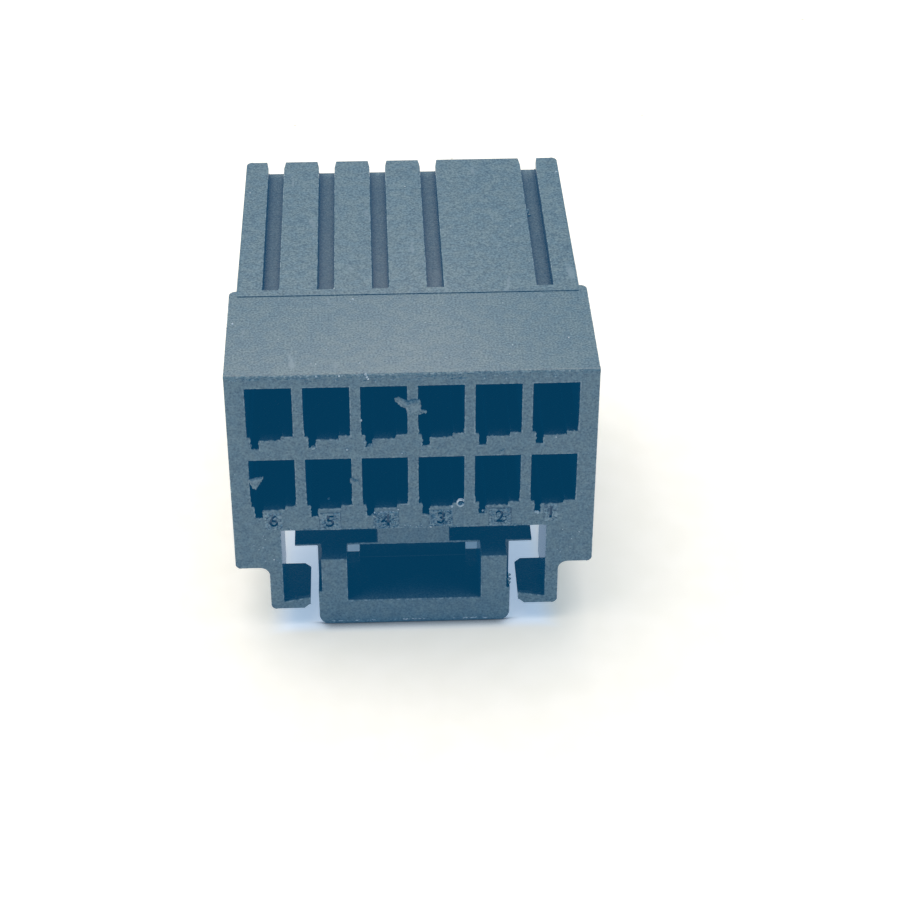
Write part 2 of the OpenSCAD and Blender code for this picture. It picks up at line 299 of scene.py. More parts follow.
# %% [markdown]
# ## Dust
#
# Grains of dust sit apart from each other. A Voronoi pattern gives one centre per cell, the
# distance to it draws a dot, and the cell's own random value keeps only a few of the cells.

# %% Node group: dust
def make_dust():
    write, given, result = node_group(
        "dust", {"Spacing": 0.6 * mm, "Dot Size": 0.04 * mm, "Share": 0.2}, ["Mask"])
    scale = write.math("DIVIDE", 1.0, given["Spacing"])
    cells = write.add("TexVoronoi", {"Vector": given["Point"], "Scale": scale})
    reach = write.math("DIVIDE", given["Dot Size"], given["Spacing"])
    dot = write.math("LESS_THAN", cells.outputs["Distance"], reach)
    chance = write.add("SeparateColor", {"Color": cells.outputs["Color"]}).outputs["Red"]
    kept = write.math("LESS_THAN", chance, given["Share"])
    write.tree.links.new(write.math("MULTIPLY", dot, kept), result["Mask"])
    return write.tree


dust = make_dust()
show_sockets(dust)

# %% [markdown]
# ## The plastic
#
# A slate colour of two close tints with grain, ragged light edges, scuffs and a little dust,
# with painted shade that takes the colour towards black in deep recesses. A thin smooth coat
# stands for the resin-rich skin of a moulding: it hardly shows on a face seen head on and
# mirrors the floor on a wall seen edge on. Shade on this plastic never falls to black but stops
# at navy, so a weak navy glow stands for that last light.

# %% Material: slate plastic
BLACK = (0.0, 0.0, 0.0, 1)
NAVY_SHADE = (0.0012, 0.041, 0.098, 1)
SCUFF_GREY = (0.22, 0.28, 0.29, 1)
CHIP_GREY = (0.30, 0.37, 0.37, 1)
DUST_GREY = (0.45, 0.50, 0.50, 1)


def slate_plastic(name, cool, warm, wear, contrast=2.4):
    """Plastic of two tints. Wear scales how much of the edge bands is chipped light, and
    contrast how much its pebbles differ in tone."""
    finish = bpy.data.materials.new(name)
    finish.use_nodes = True
    write = NodeWriter(finish.node_tree)
    join = finish.node_tree.links.new
    shader = finish.node_tree.nodes["Principled BSDF"]
    point = write.add("TexCoord").outputs["Object"]
    band = write.add("Attribute", attribute_name="edge_band").outputs["Fac"]

    grain = write.add("Group", node_tree=moulded_grain)
    edges = write.add("Group", node_tree=worn_edges)
    scuffs = write.add("Group", node_tree=worn_edges)
    specks = write.add("Group", node_tree=dust)
    open_to_air = write.add("Group", node_tree=openness).outputs["Mask"]
    for group in (grain, edges, specks):
        join(point, group.inputs["Point"])
    grain.inputs["Pebble Size"].default_value = 0.075 * mm
    grain.inputs["Contrast"].default_value = contrast
    grain.inputs["Cloudiness"].default_value = 0.35
    join(write.math("MULTIPLY", band, open_to_air), edges.inputs["Edge Band"])
    edges.inputs["Chip Size"].default_value = 0.16 * mm
    edges.inputs["Coverage"].default_value = 0.52 * wear
    drawn_out = write.add("VectorMath", {0: point, 1: (1.0, 0.25, 5.0)}, operation="MULTIPLY")
    join(drawn_out.outputs["Vector"], scuffs.inputs["Point"])
    scuffs.inputs["Edge Band"].default_value = 0.6 * wear
    scuffs.inputs["Chip Size"].default_value = 0.5 * mm
    scuffs.inputs["Coverage"].default_value = 0.36
    specks.inputs["Spacing"].default_value = 0.5 * mm
    specks.inputs["Dot Size"].default_value = 0.03 * mm
    specks.inputs["Share"].default_value = 0.12

    tint = write.mix(grain.outputs["Cloud"], cool, warm)
    grey = write.add("CombineColor", {"Red": grain.outputs["Tone"], "Green": grain.outputs["Tone"],
                                      "Blue": grain.outputs["Tone"]})
    toned = write.mix(1.0, tint, grey.outputs["Color"], "MULTIPLY")
    scuffed = write.mix(scuffs.outputs["Mask"], toned, SCUFF_GREY)
    chipped = write.mix(edges.outputs["Mask"], scuffed, CHIP_GREY)
    dusty = write.mix(specks.outputs["Mask"], chipped, DUST_GREY)
    # Painted shade: the base colour falls to black where the openness mask finds a recess.
    shaded = write.mix(open_to_air, BLACK, dusty)
    join(shaded, shader.inputs["Base Color"])
    join(write.ramp(grain.outputs["Height"], 0.3, 0.7, 0.60, 0.44), shader.inputs["Roughness"])
    bump = write.add("Bump", {"Strength": 0.5, "Distance": 0.03 * mm,
                              "Height": grain.outputs["Height"]})
    join(bump.outputs["Normal"], shader.inputs["Normal"])
    shader.inputs["Specular IOR Level"].default_value = 0.1
    shader.inputs["Coat Weight"].default_value = 0.75
    shader.inputs["Coat Roughness"].default_value = 0.17
    shader.inputs["Emission Color"].default_value = NAVY_SHADE
    shader.inputs["Emission Strength"].default_value = 1.0
    return finish


plastic = slate_plastic("slate_plastic", (0.110, 0.160, 0.166, 1), (0.122, 0.166, 0.160, 1), 1.0)
rough_end = slate_plastic("rough_insert", (0.08, 0.13, 0.15, 1), (0.14, 0.19, 0.19, 1), 1.0, 6.0)
# Painted shade: the near-black finish that the cut numbers and plot frames take.
engraved = slate_plastic("engraved_shade", (0.012, 0.02, 0.03, 1), (0.018, 0.03, 0.04, 1), 0.0)
pale = slate_plastic("pale_crumb", (0.42, 0.50, 0.52, 1), (0.62, 0.66, 0.66, 1), 0.0)
print("materials:", plastic.name, rough_end.name, engraved.name, pale.name)

# %% [markdown]
# ## Floor
#
# A sheet of white card with a few fibres in it. The camera and the plastic's coat see it a
# little brighter than the light alone would make it, so that it is a plain white ground. The
# lift goes by the distance from the middle: weak and blue under the latch pad, stronger and
# still blue beside it, and warm past the guards, so that the blue lift under the body is
# painted shade. The shadows stay. Where a foot stands on the card, ambient occlusion paints
# the narrow dark line of the contact as a painted contact shadow.

# %% Floor
CARD_DULL, CARD_BRIGHT = (0.86, 0.86, 0.81, 1), (0.90, 0.90, 0.86, 1)
FIBRE_GREY = (0.55, 0.55, 0.52, 1)
PAINTED_SHADE_UNDER_PAD, PAINTED_SHADE_BESIDE_PAD = (0.09, 0.14, 0.20, 1), (0.30, 0.37, 0.47, 1)
LIFT_OUTSIDE = (0.33, 0.32, 0.28, 1)


def white_card():
    """Card with fibres. Smooth steps over |x| and |y| pick the tint of its lift: one under the
    pad, one beside it, and one past the guards and past both ends. The first two are painted
    shade, and ambient occlusion paints a contact shadow near the feet."""
    finish = bpy.data.materials.new("white_card")
    finish.use_nodes = True
    write = NodeWriter(finish.node_tree)
    join = finish.node_tree.links.new
    shader = finish.node_tree.nodes["Principled BSDF"]
    point = write.add("TexCoord").outputs["Object"]
    fibres = write.add("Group", node_tree=dust)
    join(point, fibres.inputs["Point"])
    fibres.inputs["Spacing"].default_value = 2.6 * mm
    fibres.inputs["Dot Size"].default_value = 0.10 * mm
    fibres.inputs["Share"].default_value = 0.25
    cloudy = write.ramp(write.noise(point, 1.2 * mm, 4.0), 0.3, 0.7)
    card = write.mix(cloudy, CARD_DULL, CARD_BRIGHT)
    speckled = write.mix(fibres.outputs["Mask"], card, FIBRE_GREY)
    shader.inputs["Roughness"].default_value = 0.9
    parts = write.add("SeparateXYZ", {"Vector": point}).outputs
    across = write.math("ABSOLUTE", parts["X"])
    endways = write.math("ABSOLUTE", parts["Y"])
    past_feet = write.ramp(endways, 7.7 * mm, 8.3 * mm)
    past_pad = write.math("MAXIMUM", write.ramp(across, 2.9 * mm, 3.5 * mm), past_feet)
    past_body = write.math("MAXIMUM", write.ramp(across, 4.4 * mm, 5.6 * mm), past_feet)
    # Painted shade on the card: a weaker, bluer lift under the latch pad and a blue one beside it.
    near = write.mix(past_pad, PAINTED_SHADE_UNDER_PAD, PAINTED_SHADE_BESIDE_PAD)
    lift = write.mix(past_body, near, LIFT_OUTSIDE)
    # Painted contact shadow: near a foot, ambient occlusion darkens the card's colour and its lift.
    hidden = write.add("AmbientOcclusion", {"Distance": 0.7 * mm}, samples=8).outputs["AO"]
    contact = write.math("MAXIMUM", write.ramp(hidden, 0.35, 0.95, 0.25, 1.0),
                         write.ramp(endways, 7.5 * mm, 7.7 * mm, 1.0, 0.0))
    join(write.mix(contact, BLACK, speckled), shader.inputs["Base Color"])
    join(write.mix(contact, BLACK, lift), shader.inputs["Emission Color"])
    rays = write.add("LightPath").outputs
    seen = write.math("MAXIMUM", rays["Is Camera Ray"], rays["Is Glossy Ray"])
    join(seen, shader.inputs["Emission Strength"])
    return finish


card_half = 1.0
card_corners = [(-card_half, -card_half, sole_z), (card_half, -card_half, sole_z),
                (card_half, card_half, sole_z), (-card_half, card_half, sole_z)]
floor_mesh = bpy.data.meshes.new("floor")
floor_mesh.from_pydata(card_corners, [], [(0, 1, 2, 3)])
floor = bpy.data.objects.new("floor", floor_mesh)
floor.data.materials.append(white_card())
scene.collection.objects.link(floor)
print("floor", 2 * card_half, "m square at z =", round(sole_z / mm, 2), "mm")

# %% [markdown]
# ## The moulding
#
# CAD edges are perfectly sharp and real ones aren't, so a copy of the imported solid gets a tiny
# two-step bevel on each edge that turns by more than thirty degrees. The finest steps, at the
# shoulder and the grooves' lead-ins, are too small for the bevel and stay as they are. The new
# faces are marked in the attribute edge_band, which the material reads. Should the bevel tool
# list a large face among the new ones, it is no edge and gets no mark.

# %% Piece: moulding
sharp_turn = math.radians(30)
largest_edge_face = 0.3 * mm ** 2


def wants_bevel(edge, width):
    """True for a sharp edge that is long enough and not on one of the finest steps."""
    middle = (edge.verts[0].co + edge.verts[1].co) / 2
    shoulder = abs(middle.y - (front_y + collar_length - 0.2 * mm)) < 0.32 * mm
    lead_in = middle.y > rear_y - 0.6 * mm and abs(middle.z - (top_z - 0.5 * mm)) < 0.12 * mm
    return (edge.calc_face_angle(0) > sharp_turn and edge.calc_length() > 1.6 * width
            and not lead_in and not (shoulder and middle.z > sole_z + 4.3 * mm))


def softened_copy(node_name, width):
    """A closed mesh of that CAD node with its sharp edges bevelled by width."""
    work = bmesh.new()
    work.from_mesh(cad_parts[node_name].data)
    bmesh.ops.remove_doubles(work, verts=work.verts, dist=0.002 * mm)
    work.normal_update()
    band = work.faces.layers.float.new("edge_band")
    sharp = [edge for edge in work.edges if wants_bevel(edge, width)]
    made = bmesh.ops.bevel(work, geom=sharp, offset=width, offset_type="OFFSET", segments=2,
                           profile=0.5, affect="EDGES", clamp_overlap=False, loop_slide=False)
    for face in made["faces"]:
        face[band] = 1.0
    bmesh.ops.remove_doubles(work, verts=work.verts, dist=0.0005 * mm)
    bmesh.ops.triangulate(work, faces=work.faces)
    for face in work.faces:
        face[band] *= face.calc_area() < largest_edge_face
    loose = sum(not edge.is_manifold for edge in work.edges)
    print(node_name, "edges bevelled:", len(sharp), "faces:", len(work.faces),
          "open edges:", loose, "volume mm3:", round(work.calc_volume() / mm ** 3, 1))
    mesh = bpy.data.meshes.new("moulding")
    work.to_mesh(mesh)
    work.free()
    return mesh


moulding = bpy.data.objects.new("moulding", softened_copy("housing", 0.03 * mm))
scene.collection.objects.link(moulding)
moulding.data.materials.append(plastic)
moulding.data.materials.append(engraved)

# %% [markdown]
# ## Grid helpers
#
# The small pieces below are all one of two closed forms: a stack of rings with a cap at each
# end, such as a crumb, a sliver or a bead of flash, or a tube that runs round and closes on
# itself. Two helpers turn the arrays of rings or rails into faces, one joins several forms in
# one mesh that points outward, and the last makes the object.

# %% Grid and noise helpers
chance = np.random.default_rng(12)


def rough(count, knots, low, high):
    """A ragged line: random heights at a few knots, joined by straight runs, ends alike."""
    heights = chance.uniform(low, high, knots)
    places = np.linspace(0, 1, knots + 1)
    closed = np.append(heights, heights[0])
    return np.interp(np.linspace(0, 1, count, endpoint=False), places, closed)


def skin(rings):
    """Closes a stack of rings, an array (R, N, 3): quads join each ring to the next, and a fan
    of triangles round the mean of the end ring closes each end."""
    count, around = rings.shape[:2]
    index = np.arange(count * around).reshape(count, around)
    ahead = np.roll(index, -1, axis=1)
    walls = np.stack([index[:-1], ahead[:-1], ahead[1:], index[1:]], axis=-1).reshape(-1, 4)
    first, last = np.full(around, count * around), np.full(around, count * around + 1)
    caps = np.stack([[ahead[0], index[0], first], [index[-1], ahead[-1], last]])
    caps = caps.transpose(0, 2, 1).reshape(-1, 3)
    points = np.concatenate([rings.reshape(-1, 3), rings[:1].mean(axis=1), rings[-1:].mean(axis=1)])
    return points, [walls, caps]


def ring_of_rails(rails):
    """Joins R closed rails of N points, an array (R, N, 3), into a closed tube of quads."""
    rail_count, count = rails.shape[:2]
    index = np.arange(rail_count * count).reshape(rail_count, count)
    ahead, across = np.roll(index, -1, axis=1), np.roll(index, -1, axis=0)
    faces = np.stack([index, ahead, np.roll(across, -1, axis=1), across], axis=-1).reshape(-1, 4)
    return rails.reshape(-1, 3), [faces]


def unpaired_edges(mesh):
    """How many edges don't have exactly two faces: none on a closed mesh."""
    sides = np.empty(len(mesh.loops), dtype=np.int32)
    mesh.loops.foreach_get("edge_index", sides)
    return int((np.bincount(sides, minlength=len(mesh.edges)) != 2).sum())


def outward_mesh(name, forms, finish):
    """One mesh from the forms [(points, [array of faces, ...]), ...], turned outward. Each form's
    faces are moved up by the number of points before it."""
    points = np.concatenate([form_points for form_points, _ in forms])
    starts = np.cumsum([0] + [len(form_points) for form_points, _ in forms])
    blocks = [block + start for start, (_, arrays) in zip(starts, forms) for block in arrays]
    mesh = bpy.data.meshes.new(name)
    mesh.from_pydata(points.tolist(), [], [face for block in blocks for face in block.tolist()])
    work = bmesh.new()
    work.from_mesh(mesh)
    bmesh.ops.recalc_face_normals(work, faces=work.faces)
    work.to_mesh(mesh)
    work.free()
    mesh.materials.append(finish)
    return mesh


def piece(name, forms, finish, chipped):
    """One object from closed forms, riding on the root. Its edge_band is the same all over: the
    share of chips that show on it."""
    mesh = outward_mesh(name, forms, finish)
    band = mesh.attributes.new("edge_band", "FLOAT", "FACE")
    band.data.foreach_set("value", np.full(len(mesh.polygons), chipped, dtype=np.float32))
    thing = bpy.data.objects.new(name, mesh)
    scene.collection.objects.link(thing)
    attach(thing, "root")
    print(name, "faces:", len(mesh.polygons), "unpaired edges:", unpaired_edges(mesh))
    return thing


# %% [markdown]
# ## Rough plots behind the numbers
#
# The numbers stand on small inserts in the mould, whose worn ends print a rough square plot
# round each digit. A plot is a grid of random heights, a few hundredths of a millimetre, made
# into a thin slab that is sunk in the face. Each plot has its own size and roughness.

# %% Piece: number plots
digit_places = ((-5.03, 6.26), (-3.00, 6.32), (-0.99, 6.32),
                (0.99, 6.27), (3.11, 6.27), (4.94, 6.14))
plot_widths = (0.62, 0.74, 0.88, 0.84, 0.78, 0.50)
plot_relief = (0.020, 0.030, 0.055, 0.050, 0.035, 0.015)
plot_half_height, plot_rows, plot_grain = 0.37, 22, 0.035


def plot_slab(place, width, relief):
    """Rows of rings from bottom to top. A ring runs along the face at a random height up to
    relief and comes back inside the wall, so that the stack is a closed slab."""
    middle = on_wire_face(*place)
    across = max(12, int(width / plot_grain))
    x = middle.x + np.linspace(-0.5, 0.5, across) * width * mm
    z = middle.z + np.linspace(-plot_half_height, plot_half_height, plot_rows) * mm
    lift = chance.uniform(0.0, relief * mm, (plot_rows, across))
    lift[:, [0, -1]] *= 0.3
    lift[[0, -1], :] *= 0.3
    grid_x, grid_z = np.meshgrid(x, z)
    grid_x = grid_x + chance.normal(0, 0.006 * mm, grid_x.shape)
    front = np.stack([grid_x, front_y - 0.002 * mm - lift, grid_z], axis=-1)
    back = np.stack([grid_x, np.full_like(lift, front_y + 0.02 * mm), grid_z], axis=-1)
    return skin(np.concatenate([front, back[:, ::-1]], axis=1))


plots = piece("number_plots", [plot_slab(place, width, relief) for place, width, relief
                               in zip(digit_places, plot_widths, plot_relief)], rough_end, 0.5)
plots.data.materials.append(engraved)

# %% [markdown]
# ## Position numbers
#
# Each column is numbered under the lower row, 6 at the left to 1 at the right. The mould has
# the digits standing up, so on the part they are engraved: a boolean cuts them a little way into
# the face, and the cut takes a darker finish, which is painted shade for the recess. The pins
# that print them are never quite true, so each digit has its own small offset. The boolean hands
# its result back with smooth shading on many faces, which draws wedges of false tone over long
# flat walls, so the result is set to flat shading again. It also merges points of faces that
# have almost no width, on the plots and in the tightest bevelled corners. That leaves a few
# edges under 0.2 mm long without exactly two faces, and the printed count of them isn't zero.

# %% Engrave the position numbers
digit_height, digit_depth, stroke_growth = 0.50 * mm, 0.07 * mm, 0.012 * mm
digit_share_of_size = 0.7
frame_height, frame_rail, frame_depth, frame_proud = 0.76 * mm, 0.036 * mm, 0.03 * mm, 0.08 * mm


def digit_cutter(number, place):
    """The number as a thin solid that stands across the wire entry face at place."""
    curve = bpy.data.curves.new("digit", "FONT")
    curve.body = str(number)
    curve.align_x, curve.align_y = "CENTER", "CENTER"
    curve.size = digit_height / digit_share_of_size
    curve.extrude = digit_depth
    curve.offset = stroke_growth
    curve.resolution_u = 3
    letter = bpy.data.objects.new("digit", curve)
    letter.matrix_world = (Matrix.Translation(on_wire_face(*place))
                           @ Matrix.Rotation(math.radians(90), 4, "X")
                           @ Matrix.Rotation(chance.uniform(-0.05, 0.05), 4, "Z"))
    scene.collection.objects.link(letter)
    bpy.context.view_layer.update()
    solid = bpy.data.objects.new("digit", bpy.data.meshes.new_from_object(letter))
    solid.data.transform(letter.matrix_world)
    solid.data.materials.clear()
    solid.data.materials.append(engraved)
    bpy.data.objects.remove(letter)
    return solid


def frame_cutter(place, width):
    """A thin square frame round a plot, which the insert's own edge prints: its outline and the
    same outline grown by frame_rail, each in front of the face and sunk in it."""
    middle = on_wire_face(*place)
    square = np.array([(-0.5, -0.5), (0.5, -0.5), (0.5, 0.5), (-0.5, 0.5)])
    rails = [np.insert(square * (width * mm + grow, frame_height + grow) + (middle.x, middle.z), 1,
                       front_y + depth, axis=1)
             for grow, depth in ((0.0, -frame_proud), (frame_rail, -frame_proud),
                                 (frame_rail, frame_depth), (0.0, frame_depth))]
    mesh = outward_mesh("frame_cutter", [ring_of_rails(np.array(rails))], engraved)
    return bpy.data.objects.new("frame_cutter", mesh)


def engrave(targets, cutters):
    """Cuts all the cutters out of each target in one boolean, then removes the cutters."""
    tools = bpy.data.collections.new("cutters")
    scene.collection.children.link(tools)
    for cutter in cutters:
        tools.objects.link(cutter)
    for target in targets:
        cut = target.modifiers.new("engrave", "BOOLEAN")
        cut.operation, cut.solver, cut.operand_type = "DIFFERENCE", "EXACT", "COLLECTION"
        cut.collection, cut.material_mode = tools, "TRANSFER"
        bpy.context.view_layer.update()
        seen = target.evaluated_get(bpy.context.evaluated_depsgraph_get())
        done = bpy.data.meshes.new_from_object(seen)
        target.modifiers.clear()
        done.shade_flat()
        target.data = done
        print(target.name, "faces after engraving:", len(done.polygons), "unpaired edges:",
              unpaired_edges(done))
    for cutter in cutters:
        bpy.data.objects.remove(cutter)
    bpy.data.collections.remove(tools)


cutters = [digit_cutter(columns - k, place) for k, place in enumerate(digit_places)]
framed_plots = (1, 4)
cutters += [frame_cutter(digit_places[k], plot_widths[k]) for k in framed_plots]
engrave([moulding, plots], cutters)
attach(moulding, "root")
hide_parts("housing")

# %% [markdown]
# ## Flash round the cavity mouths
#
# Where the cores meet the front half of the mould, plastic creeps out as a skin a few
# hundredths thick. It is a closed strip swept along the mouth's outline: four rails, two sunk
# in the wall and two that reach into the opening by a ragged amount.

# %% Piece: flash round the mouths
flash_step, flash_reach, flash_root = 0.025 * mm, 0.085 * mm, 0.045 * mm
flash_front, flash_back = 0.003 * mm, 0.045 * mm
fade_height, least_share = 0.9 * mm, 0.18


def along(outline, spacing):
    """Points at an even spacing round a closed outline, with the inward normal at each."""
    corners = np.array([*outline, outline[0]], float)
    runs = np.linalg.norm(np.diff(corners, axis=0), axis=1)
    travelled = np.concatenate([[0], np.cumsum(runs)])
    count = int(travelled[-1] / spacing)
    wanted = np.linspace(0, travelled[-1], count, endpoint=False)
    points = np.stack([np.interp(wanted, travelled, corners[:, k]) for k in (0, 1)], axis=1)
    tangent = np.roll(points, -1, axis=0) - np.roll(points, 1, axis=0)
    tangent /= np.linalg.norm(tangent, axis=1)[:, None]
    return points, np.stack([-tangent[:, 1], tangent[:, 0]], axis=1)


def mouth_outline(column, row):
    """The cavity mouth in X and Z, anticlockwise: floor with its slot, step, walls and roof."""
    left = column_x(column) - cavity_width / 2
    right = left + cavity_width
    base = floor_z(row)
    slot_left = left + ledge_width
    slot_right = slot_left + slot_width
    step = right - step_width
    return [(slot_left, base + step_height), (slot_left, base - slot_depth),
            (slot_right, base - slot_depth), (slot_right, base), (step, base),
            (step, base + step_height), (right, base + step_height),
            (right, base + cavity_height), (left, base + cavity_height),
            (left, base + step_height)]


def mouth_flash(column, row):
    """Four rails round one mouth. The reach into the opening is a ragged line times a share that
    is whole at the floor, falls evenly over fade_height and stays at least_share above."""
    points, inward = along(mouth_outline(column, row), flash_step)
    base = floor_z(row)
    low_down = np.clip((base + fade_height - points[:, 1]) / fade_height, least_share, 1)
    ragged = rough(len(points), 150, 0.0, flash_reach) * rough(len(points), 12, 0.3, 1.0)
    tip = points + inward * (ragged * low_down)[:, None]
    root = points - inward * flash_root
    rails = [np.insert(rail, 1, front_y + depth, axis=1)
             for rail, depth in ((root, flash_front), (tip, flash_front),
                                 (tip, flash_back), (root, flash_back))]
    return ring_of_rails(np.array(rails))


piece("mouth_flash", [mouth_flash(column, row) for column in range(columns)
                      for row in range(rows)], plastic, 0.6)

# %% [markdown]
# ## Flash along the brow and the hem
#
# The mould's halves meet at the edges of the wire entry face. Their worn corners leave a beaded,
# ragged line along the brow, where the top turns into the face, and along the hem at the face's
# foot. Each bead is a stack of small rings along the edge whose radius wanders at random.

# %% Piece: edge beads
bead_step, bead_wander = 0.04 * mm, 0.010 * mm
half_width, hem_half, pad_floor_half = 6.38, 4.35, 2.4
shoulder = collar_length / mm - 0.01
into_face = Vector((0, 0.012 * mm, 0))


def bead(start, end, thin, thick):
    """Rings of six points along the line from start to end. The radius is a ragged line between
    thin and thick, in mm, times a slower one, and the centre wanders a little."""
    start, end = np.array(start), np.array(end)
    count = int(np.linalg.norm(end - start) / bead_step)
    share = np.linspace(0, 1, count)[:, None]
    middle = start * (1 - share) + end * share
    middle[:, 1:] += chance.normal(0, bead_wander, (count, 2))
    radius = rough(count, count // 3, thin * mm, thick * mm) * rough(count, 25, 0.3, 1.0)
    turn = np.linspace(0, 2 * math.pi, 6, endpoint=False)
    spokes = np.stack([np.zeros(6), np.cos(turn), np.sin(turn)], axis=-1)
    return skin(middle[:, None, :] + radius[:, None, None] * spokes)


def on_top(across, behind):
    """A point on the top face, given in mm from the middle and from the wire entry face."""
    return Vector((across * mm, front_y + behind * mm, top_z))


def sunk_bead(left, right, below_top, thin, thick):
    """A level bead across the wire entry face, a little sunk in it. All in mm."""
    return bead(on_wire_face(left, below_top) + into_face,
                on_wire_face(right, below_top) + into_face, thin, thick)


piece("edge_beads", [
    sunk_bead(-half_width, half_width, 0.05, 0.018, 0.058),
    sunk_bead(-half_width, half_width, 0.15, 0.010, 0.055),
    sunk_bead(-3.9, 5.2, 0.26, 0.004, 0.040),
    sunk_bead(-hem_half, hem_half, 6.66, 0.016, 0.050),
    sunk_bead(-pad_floor_half, pad_floor_half, 10.03, 0.010, 0.030),
    bead(on_top(-6.1, shoulder), on_top(6.1, shoulder), 0.018, 0.030),
], plastic, 0.8)

# %% [markdown]
# ## Slivers
#
# A few torn slivers of flash hang at the mouths, where nobody brushed them off. A sliver is a
# ragged polygon with a thickness: its outline is listed, each side is cut in short runs that
# wander, and three rings of it give the scrap a rounded rim.

# %% Piece: slivers
torn_run, torn_wander, torn_sunk = 0.035 * mm, 0.012 * mm, 0.02 * mm


def ragged_flake(proud, *corners):
    """A torn scrap that stands proud mm out of the face. Its corners are in mm from the middle
    and from the top. Its rings are one sunk in the face, the outline at full size in front of
    it, and a smaller one at the rim."""
    corners = [(on_wire_face(*corner).x, on_wire_face(*corner).z) for corner in corners]
    outline = along(corners, torn_run)[0]
    outline = outline + chance.normal(0, torn_wander, outline.shape)
    middle = outline.mean(axis=0)
    steps = ((0.97, torn_sunk), (1.0, -proud * mm * 0.5), (0.72, -proud * mm))
    rings = [np.insert(middle + (outline - middle) * scale, 1, front_y + depth, axis=1)
             for scale, depth in steps]
    return skin(np.array(rings))


piece("slivers", [
    ragged_flake(0.05, (-0.62, 1.02), (-0.50, 0.98), (-0.16, 1.14), (-0.14, 1.46), (-0.36, 1.40),
                 (-0.60, 1.16)),
    ragged_flake(0.10, (-0.27, 1.30), (-0.10, 1.12), (0.27, 1.10), (0.30, 1.68), (0.02, 1.72),
                 (-0.20, 1.60)),
    ragged_flake(0.04, (0.28, 1.50), (0.50, 1.58), (0.48, 1.68), (0.28, 1.66)),
    ragged_flake(0.08, (-5.84, 4.34), (-5.30, 4.26), (-5.36, 4.42), (-5.58, 4.78), (-5.72, 4.74)),
    ragged_flake(0.07, (-2.24, 4.40), (-1.98, 4.52), (-1.92, 4.72), (-2.02, 4.70), (-2.24, 4.62)),
    ragged_flake(0.04, (3.22, 3.28), (3.06, 3.36), (3.08, 3.52), (3.22, 3.48)),
], plastic, 0.4)

# %% [markdown]
# ## Crumbs of the part's own plastic
#
# Trimming and handling leave crumbs, small lumpy balls that stick where a worker would find
# them: in the slots of the mouths, at the side of the latch pad, in a guide groove, and along
# the brow, the hem, the sides and the web between the rows. The large ones are listed one by
# one, and the small ones are scattered over bands of solid plastic, so that none floats in an
# opening.

# %% Piece: plastic crumbs
def crumb(place, size):
    """A lumpy closed ball: rings of a sphere whose radius is varied at random by a quarter."""
    polar = np.linspace(0.25, math.pi - 0.25, 5)[:, None]
    turn = np.linspace(0, 2 * math.pi, 8, endpoint=False)[None, :]
    radius = size * mm / 2 * (1 + 0.25 * chance.uniform(-1, 1, (5, 8)))
    ball = np.stack([radius * np.sin(polar) * np.cos(turn), radius * np.sin(polar) * np.sin(turn),
                     radius * np.cos(polar) * np.ones_like(turn)], axis=-1)
    return skin(ball + np.array(place))


def crumbs(place, table, shift=(0, 0, 0)):
    """A crumb for each row of the table: across, down or back, and size, all in mm. The place
    is a function, on_wire_face or on_top, and the shift, in metres, moves every crumb."""
    return [crumb(place(across, along_face) + Vector(shift), size)
            for across, along_face, size in table]


def scattered(count, left, right, upper, lower, small, large):
    """Crumbs at random places in a band of the wire entry face, all sizes in mm."""
    return [crumb(on_wire_face(chance.uniform(left, right), chance.uniform(upper, lower)),
                  chance.uniform(small, large)) for _ in range(count)]


slot_middle = [column_x(column) / mm - 0.545 for column in range(columns)]
in_reach, on_a_floor = (0, 0.06 * mm, 0), (0, 0.60 * mm, 0)
pad_side, pad_low = 3.50, 9.20
piece("plastic_crumbs", [
    *crumbs(on_wire_face, [
        (slot_middle[1] + 0.05, 3.03, 0.16), (slot_middle[2] + 0.05, 3.02, 0.18),
        (slot_middle[2] - 0.13, 2.86, 0.12), (slot_middle[2] + 0.16, 2.82, 0.12),
        (slot_middle[0] - 0.14, 2.90, 0.10), (slot_middle[2] + 0.08, 6.08, 0.16),
        (slot_middle[4] + 0.14, 6.00, 0.16)]),
    *crumbs(on_wire_face, [(-3.04, 5.74, 0.09)], on_a_floor),
    *crumbs(on_wire_face, [(pad_side, pad_low, 0.13), (pad_side, pad_low + 0.17, 0.11),
                           (pad_side, pad_low - 0.20, 0.10)], in_reach),
    *crumbs(on_top, [(4.72, 11.3, 0.20)], (0, 0, -0.10 * mm)),
    *crumbs(on_top, [(4.80, 11.1, 0.14)], (0, 0, -0.16 * mm)),
    *crumbs(on_top, [(-6.47, 3.1, 0.07), (-6.47, 5.2, 0.06)]),
    *scattered(26, -6.3, 6.3, 0.02, 0.30, 0.04, 0.10),
    *scattered(24, -6.2, 6.2, 6.20, 6.64, 0.03, 0.07),
    *scattered(16, -6.3, 6.3, 3.16, 3.50, 0.03, 0.06),
    *scattered(8, -6.4, -5.95, 0.5, 6.4, 0.03, 0.06),
    *scattered(8, 5.95, 6.4, 0.5, 6.4, 0.03, 0.06),
], plastic, 1.0)
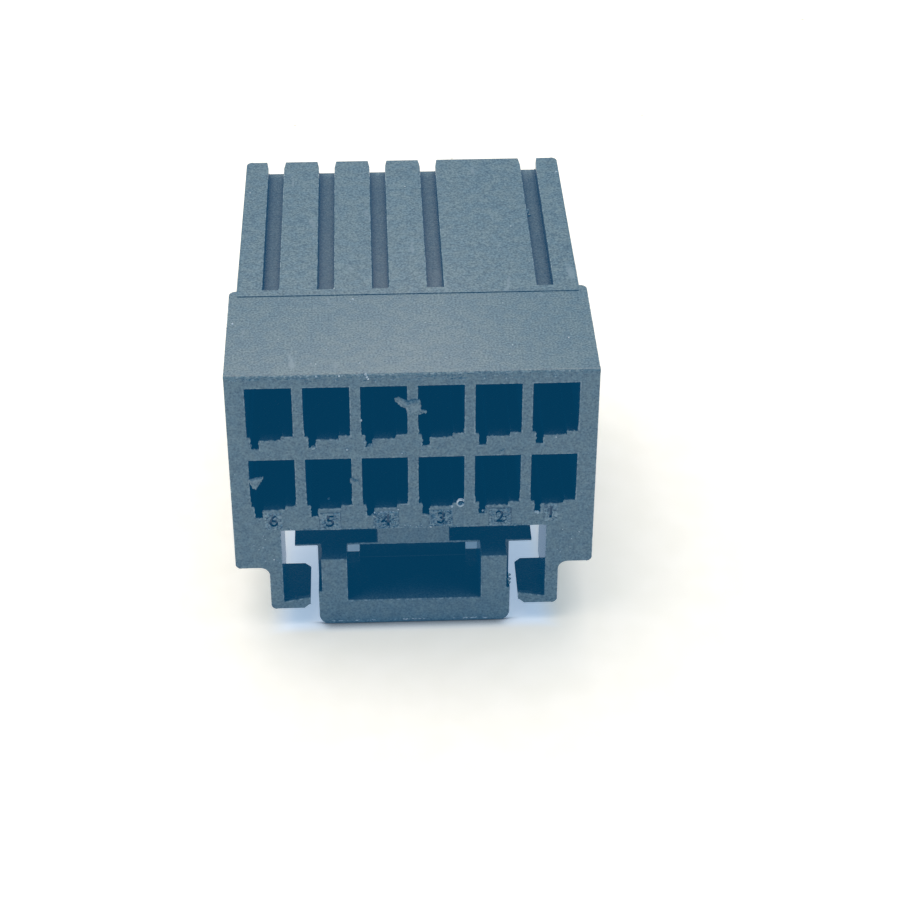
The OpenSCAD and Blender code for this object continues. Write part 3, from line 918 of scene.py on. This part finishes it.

# %% [markdown]
# ## Pale crumbs and one curled shaving
#
# Scraped plastic is paler than the moulding, so the freshest scraps have a finish of their own:
# a shaving curled on the edge of a floor, grains at the mouths and on the top, thin pale lines
# beside the numbers, and specks along the hem. A pale line along the latch pad's lower edge is
# partly such a scrap and partly a painted highlight on that edge. The shaving is a strip along
# a spiral.

# %% Piece: pale crumbs
def curled_shaving(centre, radius, turns):
    """A spiral strip: the radius shrinks evenly while the angle runs through the turns. Each
    ring is a small rectangle, wide along Y and thin across the spiral."""
    angle = np.linspace(0.6, turns * 2 * math.pi, 40)[:, None]
    shrink = radius * (1 - 0.35 * angle / angle[-1])
    wide = np.array([-1, 1, 1, -1]) * 0.05 * mm
    thin = shrink + np.array([1, 1, -1, -1]) * 0.022 * mm
    return skin(np.stack([centre[0] + thin * np.cos(angle), centre[1] + wide - 0.01 * mm * angle,
                          centre[2] + thin * np.sin(angle)], axis=-1))


piece("pale_crumbs", [
    curled_shaving(on_wire_face(1.68, 5.59), 0.15 * mm, 0.95),
    *crumbs(on_wire_face, [
        (1.38, 5.76, 0.09), (4.46, 6.10, 0.12), (4.38, 6.08, 0.08), (-1.80, 1.92, 0.08),
        (-2.32, 3.16, 0.08), (-0.39, 3.37, 0.06), (-3.30, 0.06, 0.07), (-2.52, 0.06, 0.06),
        (-1.60, 0.02, 0.10), (-1.56, 0.12, 0.09), (-1.52, 0.20, 0.07), (-1.40, 5.96, 0.07),
        (-0.58, 6.02, 0.06), (-0.55, 5.84, 0.06), (0.62, 6.64, 0.08), (2.48, 5.98, 0.07),
        (3.40, 6.36, 0.05)]),
    *crumbs(on_top, [
        (-2.95, 1.60, 0.05), (-1.80, 0.70, 0.05), (-2.02, 4.90, 0.08), (-2.12, 4.72, 0.05),
        (-6.30, 3.40, 0.08), (6.10, 14.2, 0.12), (6.04, 14.1, 0.08)]),
    *[crumb(on_top(chance.uniform(-6.2, 6.2), chance.uniform(0.3, 5.5)),
            chance.uniform(0.02, 0.04)) for _ in range(14)],
    bead(on_wire_face(-1.44, 5.98), on_wire_face(-1.44, 6.64), 0.012, 0.036),
    bead(on_wire_face(-0.54, 5.72), on_wire_face(-0.54, 6.45), 0.016, 0.042),
    bead(on_wire_face(0.56, 6.02), on_wire_face(0.56, 6.60), 0.016, 0.042),
    bead(on_wire_face(-1.20, 5.94), on_wire_face(-0.70, 5.92), 0.008, 0.028),
    # Partly scraped plastic, partly a painted highlight along the latch pad's lower edge.
    sunk_bead(-3.1, 3.1, 10.95, 0.000, 0.034),
    *scattered(12, -1.0, 0.6, 6.56, 6.68, 0.02, 0.045),
    *scattered(10, -5.5, 5.5, 6.50, 6.68, 0.02, 0.040),
    *scattered(9, -6.1, -4.9, 6.9, 8.2, 0.03, 0.055),
    *scattered(7, 4.95, 6.0, 6.8, 8.0, 0.03, 0.055),
], pale, 0.0)
